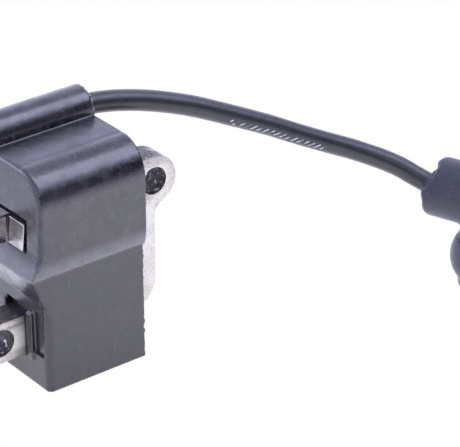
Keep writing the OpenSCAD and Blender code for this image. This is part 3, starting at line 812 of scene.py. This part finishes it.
def steel_face():
    """The flat side of the outer sheets, mottled and a little stained."""
    paint = Paint("steel_face", 0.36, 1.0)
    broad, grain = paint.noise(4, 4), paint.noise(0.35, 3)
    base = paint.ramp(broad, (0.3, (0.26, 0.247, 0.222)), (0.65, (0.38, 0.363, 0.328)))
    mottle = paint.ramp(grain, (0.3, (0.19, 0.183, 0.165)), (0.6, (0.44, 0.42, 0.38)))
    base = paint.mix(0.5, base, mottle)
    stain = paint.ramp(paint.noise(2.1, 3), (0.60, 0.0), (0.72, 0.5))
    base = paint.mix(stain, base, (0.13, 0.115, 0.105))
    paint.colour(base)
    paint.rough(paint.ramp(grain, (0.3, 0.5), (0.7, 0.3)))
    paint.bump((grain, 0.03), (paint.noise(0.12, 2), 0.008))
    return paint.material


def steel_edge(name, unshaded):
    """The sheets' punched edges: each a bright line, darker between them, with some painted glints;
    where unshaded is below 1, as in a mounting hole, painted shade takes the colour most of the way
    to near black.
    """
    paint = Paint(name, 0.4, 1.0)
    pitch = STACK_T / SHEETS * MM
    sheet = paint.math("DIVIDE", paint.math("SUBTRACT", paint.axis("Y"), core_low.y), pitch)
    dark = paint.ramp(paint.apart(paint.math("FRACT", sheet), 0.5), (0.32, 0.0), (0.48, 0.85))
    base = paint.ramp(paint.noise(1.4, 4), (0.3, (0.13, 0.125, 0.12)), (0.7, (0.26, 0.255, 0.25)))
    rust = paint.ramp(paint.noise(1.8, 3), (0.52, 0.0), (0.68, 0.55))
    base = paint.mix(rust, base, (0.17, 0.10, 0.07))
    base = paint.mix(dark, base, (0.025, 0.022, 0.022))
    # painted shade: the colour goes towards near black by the share that unshaded leaves
    base = paint.mix(unshaded, (0.012, 0.008, 0.007), base)
    glint = paint.ramp(paint.noise(0.9, 4), (0.60, 0.0), (0.66, 0.8))
    paint.colour(paint.mix(glint, base, (0.5, 0.49, 0.48)))
    paint.rough(paint.ramp(paint.noise(0.6, 3), (0.3, 0.28), (0.7, 0.45)))
    paint.bump((paint.noise(0.4, 3), 0.02))
    return paint.material


def metal(name, low, high, rough, size=1.0, depth=0.01):
    paint = Paint(name, rough, 1.0)
    grain = paint.noise(size, 4)
    paint.colour(paint.ramp(grain, (0.3, low), (0.7, high)))
    paint.rough(paint.ramp(paint.noise(size * 0.7, 3), (0.3, rough * 0.75), (0.7, rough * 1.35)))
    paint.bump((paint.noise(size * 0.3, 2), depth))
    return paint.material


def plain(name, low, high, rough, size=1.0, depth=0.01):
    paint = Paint(name, rough)
    paint.colour(paint.ramp(paint.noise(size, 4), (0.3, low), (0.7, high)))
    paint.rough(paint.ramp(paint.noise(size * 0.6, 3), (0.3, rough * 0.8),
                           (0.7, min(1, rough * 1.25))))
    paint.bump((paint.noise(size * 0.3, 2), depth))
    return paint.material


def tinned():
    """Brushed tinned metal, with painted shade in the bend between blade and pad."""
    paint = Paint("tinned_metal", 0.3, 1.0)
    base = paint.ramp(paint.noise(3.4, 3), (0.40, (0.20, 0.18, 0.175)), (0.62, (0.36, 0.35, 0.34)))
    # painted shade along the bend's inner corner
    bend = place((-1.5, BLADE_Y, 0))
    off = paint.math("MAXIMUM", paint.apart(paint.axis("X"), bend.x),
                     paint.apart(paint.axis("Y"), bend.y))
    dark = paint.ramp(paint.math("DIVIDE", off, MM), (0.28, 1.0), (0.62, 0.0))
    base = paint.mix(dark, base, (0.03, 0.022, 0.02))
    paint.colour(base)
    brushed = paint.noise(0.5, 3, paint.stretched((0.2, 0.2, 1)))
    paint.rough(paint.ramp(brushed, (0.3, 0.22), (0.7, 0.42)))
    paint.bump((brushed, 0.006))
    return paint.material


def wound(name, low, high, pitch, axis):
    """Turns of fine enamelled wire side by side, with painted shade in the grooves between turns.
    """
    paint = Paint(name, 0.3, 0.75)
    turn = paint.math("MULTIPLY", paint.axis(axis), 2 * math.pi / (pitch * MM))
    ridge = paint.math("ABSOLUTE", paint.math("SINE", paint.math("MULTIPLY", turn, 0.5)))
    # painted shade: darker towards each turn's edges, lighter on its crown
    paint.colour(paint.mix(ridge, low, high))
    paint.bump((ridge, pitch * 0.4), (paint.noise(0.6, 2), 0.01))
    return paint.material


def rubber():
    """Dull blue-black rubber with fine grain, scuffs and dust."""
    paint = Paint("boot_rubber", 0.45, specular=0.26)
    broad, grain = paint.noise(5, 4), paint.noise(0.6, 3)
    base = paint.ramp(broad, (0.3, (0.012, 0.0135, 0.020)), (0.7, (0.020, 0.022, 0.031)))
    speckle = paint.ramp(grain, (0.3, (0.008, 0.009, 0.014)), (0.7, (0.034, 0.037, 0.05)))
    base = paint.mix(0.4, base, speckle)
    scuff = paint.noise(0.9, 2, paint.stretched((1, 0.3, 1.4), (0.4, 0.9, 0.2)))
    base = paint.mix(paint.ramp(scuff, (0.70, 0.0), (0.78, 0.22)), base, (0.3, 0.32, 0.36))
    base = paint.dusted(base, 0.6, 0.03, 0.14, (0.4, 0.4, 0.42))
    paint.colour(base)
    paint.rough(paint.ramp(grain, (0.3, 0.36), (0.7, 0.55)))
    paint.bump((grain, 0.03), (paint.noise(2.8, 2), 0.06))
    return paint.material


# The row of ticks: where it is round the jacket and half its width, both in turns, and its
# middle, half its length and the ticks to a unit, all along the jacket's UV
PRINT_TURN, PRINT_HALF_W = 0.945, 0.042
PRINT_MIDDLE, PRINT_HALF_L, TICKS = 7.05, 1.35, 6.2
TICK_LEAN, TICK_SHARE = 1.4, 0.22


def jacket():
    """The lead's smooth jacket, with a row of plain printed ticks along one side."""
    paint = Paint("lead_jacket", 0.34, specular=0.36)
    base = paint.ramp(paint.noise(3, 4), (0.3, (0.008, 0.008, 0.0095)),
                      (0.7, (0.014, 0.0138, 0.016)))
    grain = paint.noise(0.45, 3)
    speckle = paint.ramp(grain, (0.3, (0.006, 0.006, 0.007)), (0.7, (0.03, 0.03, 0.033)))
    base = paint.mix(0.3, base, speckle)
    uv = paint.nodes.new("ShaderNodeUVMap")
    uv.uv_map = "along"
    along, turn = paint.axis("X", uv.outputs["UV"]), paint.axis("Y", uv.outputs["UV"])
    lean = paint.math("MULTIPLY", turn, TICK_LEAN)
    part = paint.math("FRACT", paint.math("MULTIPLY", paint.math("SUBTRACT", along, lean), TICKS))
    tick = paint.math("LESS_THAN", part, TICK_SHARE)
    row = paint.math("LESS_THAN", paint.apart(turn, PRINT_TURN), PRINT_HALF_W)
    span = paint.math("LESS_THAN", paint.apart(along, PRINT_MIDDLE), PRINT_HALF_L)
    worn = paint.ramp(paint.noise(1.6, 3), (0.40, 0.0), (0.52, 0.7))
    ink = paint.math("MULTIPLY", paint.math("MULTIPLY", tick, row),
                     paint.math("MULTIPLY", span, worn))
    base = paint.mix(ink, base, (0.6, 0.6, 0.62))
    base = paint.dusted(base, 0.6, 0.02, 0.15, (0.4, 0.4, 0.42))
    paint.colour(base)
    paint.rough(paint.ramp(paint.noise(1.3, 3), (0.3, 0.30), (0.7, 0.42)))
    paint.bump((grain, 0.012), (paint.noise(4, 2), 0.04))
    return paint.material


def sealant_paint():
    paint = Paint("sealant", 0.55)
    paint.colour(paint.ramp(paint.noise(0.7, 4), (0.42, (0.012, 0.012, 0.013)),
                            (0.62, (0.26, 0.255, 0.26))))
    paint.rough(paint.ramp(paint.noise(0.5, 3), (0.3, 0.4), (0.7, 0.75)))
    paint.bump((paint.noise(0.35, 3), 0.08))
    return paint.material


COPPER = ((0.42, 0.16, 0.07), (0.80, 0.42, 0.22))
PAINTS = {
    "case_plastic": case_plastic(),
    "resin": resin_paint(),
    "core_steel": steel_face(),
    "rivet_steel": metal("rivet_steel", (0.2, 0.2, 0.2), (0.34, 0.34, 0.335), 0.3, 0.6),
    "bobbin_plastic": plain("bobbin_plastic", (0.012, 0.012, 0.013), (0.022, 0.022, 0.024), 0.4, 2),
    "copper_wire": wound("copper_wire", *COPPER, 0.25, "X"),
    "board": plain("board", (0.03, 0.12, 0.05), (0.05, 0.19, 0.08), 0.35, 0.5),
    "component_black": plain("component_black", (0.012, 0.012, 0.013), (0.03, 0.03, 0.032),
                             0.45, 0.5),
    "resistor_body": plain("resistor_body", (0.52, 0.38, 0.2), (0.62, 0.48, 0.28), 0.4, 0.8),
    "capacitor_body": plain("capacitor_body", (0.30, 0.06, 0.03), (0.42, 0.1, 0.05), 0.25, 1.2),
    "tinned_metal": tinned(),
    "brass_contact": metal("brass_contact", (0.55, 0.38, 0.14), (0.82, 0.62, 0.3), 0.3, 0.8),
    "sealant": sealant_paint(),
    "lead_jacket": jacket(),
    "boot_rubber": rubber(),
    "spring_steel": metal("spring_steel", (0.45, 0.45, 0.46), (0.72, 0.72, 0.73), 0.28, 0.5),
}


def paint_all():
    """Gives the CAD's own pieces and the new ones the material of their slot."""
    for node in frame["record"]["subparts"]:
        part = frame["nodes"][node["node"]]
        part.data.materials.clear()
        part.data.materials.append(PAINTS[node["material_slot"]])
    # a new piece's list isn't cleared first, because that sets all its faces to the first material
    for piece in (lead, housing_piece, resin_piece, core_piece, terminal_piece, seal_piece,
                  boot_piece):
        piece.data.materials.append(PAINTS[piece["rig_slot"]])
    # painted highlight: the seam ridge, material 1, is coloured light grey
    seam_highlight = plain("seam_highlight", (0.07, 0.07, 0.073), (0.15, 0.148, 0.152), 0.5)
    housing_piece.data.materials.append(seam_highlight)
    core_piece.data.materials.append(steel_edge("steel_edge", 1.0))
    # painted shade: the mounting holes' edges keep only 0.12 of their colour
    core_piece.data.materials.append(steel_edge("steel_bore_shade", 0.12))


paint_all()

# ---- floor, light, end -------------------------------------------------------

# Metres, in the shared frame: the glow's middle, and how bright it is at each distance from it
TABLE_HALF, TABLE_MIDDLE, TABLE_GLOW = 3.0, (0.05, -0.09, 0), 2.0
GLOW_BY_DISTANCE = ((0.0, 0.86), (0.03, 0.84), (0.065, 0.70), (0.13, 0.50), (0.18, 0.31),
                    (0.25, 0.2), (0.6, 0.14))


def make_floor():
    """A plain white table that glows softly, brightest round the object."""
    data = bpy.data.meshes.new("floor")
    half = TABLE_HALF
    data.from_pydata([(-half, -half, 0), (half, -half, 0), (half, half, 0), (-half, half, 0)],
                     [], [(0, 1, 2, 3)])
    paint = Paint("floor", 0.8, specular=0.1)
    paint.colour(paint.ramp(paint.noise(40, 2), (0.3, 0.58), (0.7, 0.60)))
    away = paint.nodes.new("ShaderNodeVectorMath")
    away.operation = "DISTANCE"
    paint.join(paint.where, away.inputs[0])
    away.inputs[1].default_value = TABLE_MIDDLE
    paint.join(paint.ramp(away.outputs["Value"], *GLOW_BY_DISTANCE),
               paint.shader.inputs["Emission Color"])
    paint.shader.inputs["Emission Strength"].default_value = TABLE_GLOW
    # the glow lights the object, and the table itself is seen plain white
    path, pick = paint.nodes.new("ShaderNodeLightPath"), paint.nodes.new("ShaderNodeMixShader")
    white = paint.nodes.new("ShaderNodeEmission")
    paint.join(path.outputs["Is Camera Ray"], pick.inputs["Fac"])
    paint.join(paint.shader.outputs["BSDF"], pick.inputs[1])
    paint.join(white.outputs["Emission"], pick.inputs[2])
    paint.join(pick.outputs["Shader"], paint.nodes["Material Output"].inputs["Surface"])
    data.materials.append(paint.material)
    floor = bpy.data.objects.new("floor", data)
    bpy.context.collection.objects.link(floor)


# Ways from the object to the open side of the room and to the two panels
ROOM_WAY = (0.5, -0.866, 0)
PANEL_WAY = (0.516, -0.323, 0.793)
LOW_PANEL_WAY = (-0.664, 0.738, 0.12)
UP, DOWN = (0, 0, 1), (0, 0, -1)
PANEL_GLOW, LOW_PANEL_GLOW, SKY_GLOW, LEAST_GLOW = 5.5, 4.2, 2.2, 0.03
SKY_COLOUR = (0.90, 0.91, 1.27, 1)
GAP_DARK = 0.35


def make_world():
    """A studio: white walls, a bright panel high on the right, a low one, and a dark side."""
    world = bpy.data.worlds.new("studio")
    bpy.context.scene.world = world
    world.use_nodes = True
    nodes, links = world.node_tree.nodes, world.node_tree.links

    def dot(way):
        node = nodes.new("ShaderNodeVectorMath")
        node.operation = "DOT_PRODUCT"
        links.new(where.outputs["Generated"], node.inputs[0])
        node.inputs[1].default_value = way
        return node.outputs["Value"]

    def step(value, start, stop):
        node = nodes.new("ShaderNodeMapRange")
        node.interpolation_type = "SMOOTHSTEP"
        node.inputs["From Min"].default_value, node.inputs["From Max"].default_value = start, stop
        links.new(value, node.inputs["Value"])
        return node.outputs["Result"]

    def times(a, b, what="MULTIPLY"):
        node = nodes.new("ShaderNodeMath")
        node.operation = what
        for socket, value in zip(node.inputs, (a, b)):
            if isinstance(value, float):
                socket.default_value = value
            else:
                links.new(value, socket)
        return node.outputs["Value"]

    where = nodes.new("ShaderNodeTexCoord")
    room = times(step(dot(ROOM_WAY), 0.05, 0.45), step(dot(DOWN), -0.64, -0.40))
    panel = times(step(dot(PANEL_WAY), 0.93, 0.99), PANEL_GLOW)
    # a darker ring of ceiling between two heights
    gap = times(step(dot(UP), 0.66, 0.78), step(dot(DOWN), -0.92, -0.84))
    wall = times(times(1.0, room, "SUBTRACT"), times(1.0, times(gap, GAP_DARK), "SUBTRACT"))
    low_panel = times(step(dot(LOW_PANEL_WAY), 0.94, 0.99), LOW_PANEL_GLOW)
    glow = times(times(times(wall, SKY_GLOW), panel, "ADD"), low_panel, "ADD")
    sky, plain_sky = nodes["Background"], nodes.new("ShaderNodeBackground")
    sky.inputs["Color"].default_value = SKY_COLOUR
    links.new(times(glow, LEAST_GLOW, "ADD"), sky.inputs["Strength"])
    plain_sky.inputs["Color"].default_value = (1, 1, 1, 1)
    path, pick = nodes.new("ShaderNodeLightPath"), nodes.new("ShaderNodeMixShader")
    links.new(path.outputs["Is Camera Ray"], pick.inputs["Fac"])
    links.new(sky.outputs["Background"], pick.inputs[1])
    links.new(plain_sky.outputs["Background"], pick.inputs[2])
    links.new(pick.outputs["Shader"], nodes["World Output"].inputs["Surface"])


def softbox(name, at, size, power):
    """A round lamp that points at the object."""
    data = bpy.data.lights.new(name, "AREA")
    data.shape, data.size, data.energy = "DISK", size, power
    light = bpy.data.objects.new(name, data)
    bpy.context.collection.objects.link(light)
    light.location = at
    light.rotation_mode = "QUATERNION"
    light.rotation_quaternion = (Vector((0, 0, 0.03)) - Vector(at)).to_track_quat("-Z", "Y")


make_floor()
make_world()
softbox("overhead", (0.1, -0.1, 0.6), 0.28, 0.9)
bpy.context.scene.view_settings.view_transform = "Standard"
